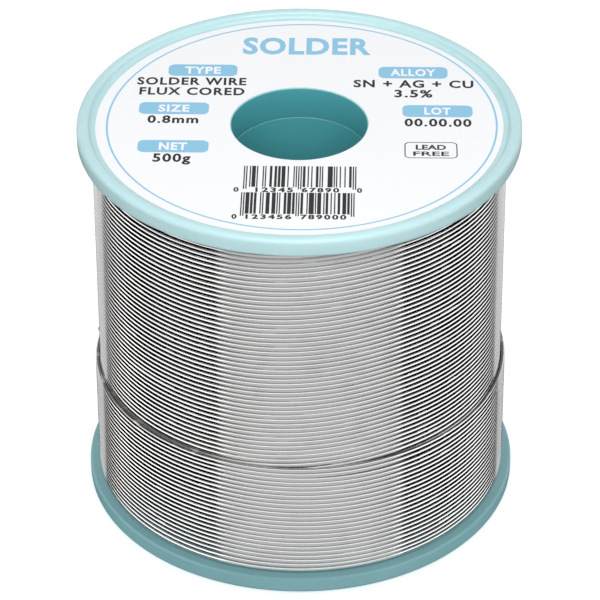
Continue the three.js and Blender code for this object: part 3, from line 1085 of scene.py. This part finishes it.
def amber_flux():
    graph = Graph(bpy.data.materials.new("flux"))
    place = graph.add("ShaderNodeTexCoord", output="Object")
    clouds = graph.add("ShaderNodeTexNoise", None, {"Vector": place, "Scale": 3000.0, "Detail": 3.0})
    tint = graph.blend(clouds, (0.56, 0.30, 0.07, 1), (0.78, 0.52, 0.18, 1))
    shader = graph.add("ShaderNodeBsdfPrincipled", None, {
        "Base Color": tint, "Roughness": clouds * 0.15 + 0.2, "Subsurface Weight": 0.3,
        "Subsurface Scale": 0.2 * MM})
    graph.add("ShaderNodeOutputMaterial", None, {"Surface": shader})
    return graph.owner


cut_turn = LAST_TURN + FREE_END_STOP
free_end = close_ends(wound(free_lay, free_end_start, cut_turn))
cut_angle = cut_turn % 1 * 2 * math.pi
cut_middle = round_place(free_lay(cut_turn)[0], cut_angle, free_lay(cut_turn)[1])
backwards = -Vector((math.cos(cut_angle), math.sin(cut_angle), 0))
cut_face = min(free_end.faces, key=lambda face: (face.calc_center_median() - cut_middle).length)
bmesh.ops.inset_individual(free_end, faces=[cut_face], thickness=WIRE_RADIUS - FLUX_HOLE_RADIUS)
pushed = bmesh.ops.extrude_discrete_faces(free_end, faces=[cut_face])["faces"][0]
bmesh.ops.translate(free_end, verts=pushed.verts[:], vec=backwards * FLUX_HOLE_DEPTH)
finish_piece("wire_free_end_cored", free_end, solder, ["wire_free_end"])

rod = bmesh.new()
bmesh.ops.create_cone(
    rod, cap_ends=True, segments=FLUX_SEGMENTS, radius1=FLUX_RADIUS, radius2=FLUX_RADIUS,
    depth=FLUX_HOLE_DEPTH - 2 * FLUX_SHORT_OF_CUT,
)
along_wire = backwards.to_track_quat("Z", "Y").to_matrix().to_4x4()
rod_place = Matrix.Translation(cut_middle + backwards * FLUX_HOLE_DEPTH / 2) @ along_wire
bmesh.ops.transform(rod, matrix=rod_place, verts=rod.verts)
finish_piece("flux_rod", rod, amber_flux(), ["flux_core"])

# %% [markdown]
# ## Starting tail
#
# The winding starts with the wire pushed through the lower flange. Its tail is bent flat into the recess,
# where it can't scratch a bench. A circle is extruded down through the hole, spun through the bend, and spun
# about the axis for the rest.

# %% Starting tail
TAIL_HEIGHT = RECESS_DEPTH - FIT - WIRE_RADIUS
TAIL_BEND_RADIUS = 0.95 * MM
TAIL_BEND_STEPS = 10
TAIL_RUN = 14 * MM
TAIL_RUN_STEPS = 20
TAIL_TOP = WINDING_FLOOR - FIT

tail = bmesh.new()
bmesh.ops.create_circle(tail, segments=WIRE_SIDES, radius=WIRE_RADIUS)
bmesh.ops.translate(tail, verts=tail.verts, vec=(0, -START_DISTANCE, TAIL_TOP))
dropped = bmesh.ops.extrude_edge_only(tail, edges=tail.edges[:])["geom"]
drop = TAIL_TOP - TAIL_HEIGHT - TAIL_BEND_RADIUS
ring = [item for item in dropped if isinstance(item, bmesh.types.BMVert)]
bmesh.ops.translate(tail, verts=ring, vec=(0, 0, -drop))
ring_edges = [edge for edge in tail.edges if edge.verts[0] in ring and edge.verts[1] in ring]
bend_centre = (TAIL_BEND_RADIUS, -START_DISTANCE, TAIL_HEIGHT + TAIL_BEND_RADIUS)
bent = bmesh.ops.spin(
    tail, geom=ring + ring_edges, cent=bend_centre, axis=(0, -1, 0), angle=math.pi / 2,
    steps=TAIL_BEND_STEPS,
)
bmesh.ops.spin(
    tail, geom=bent["geom_last"], cent=(0, 0, 0), axis=(0, 0, 1), angle=TAIL_RUN / START_DISTANCE,
    steps=TAIL_RUN_STEPS,
)
turn_to_hole = Matrix.Rotation(START_ANGLE, 3, "Z")
bmesh.ops.rotate(tail, verts=tail.verts, cent=(0, 0, 0), matrix=turn_to_hole)
finish_piece("wire_starting_tail", close_ends(tail), solder, ["wire_start_tail"])

# %% [markdown]
# ## CAD nodes that stay
#
# The layers under the outer two are hidden by them. Their CAD sleeves have the right shape and stay, in the
# same solder.

# %% Finishes on the hidden layers
hidden_layers = [node for name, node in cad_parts.items() if name.startswith("wire_layer_")]
for node in hidden_layers:
    node.data.materials.clear()
    node.data.materials.append(solder)
print("CAD layers with the solder finish:", len(hidden_layers))

# %% [markdown]
# ## What the lamps reach
#
# Light linking takes a collection of the pieces that a lamp lights. A lamp could be moved or shaded instead,
# but never so exactly. The collections are filled last, when every piece is there.

# %% Fill the lamps' collections
for name, piece in pieces.items():
    if name in ("spool_upper_flange", "spool_core") or name.startswith("label"):
        lit_by_key.objects.link(piece)
    if name.endswith("_flange"):
        for lit_by_fill in lit_by_fills:
            lit_by_fill.objects.link(piece)
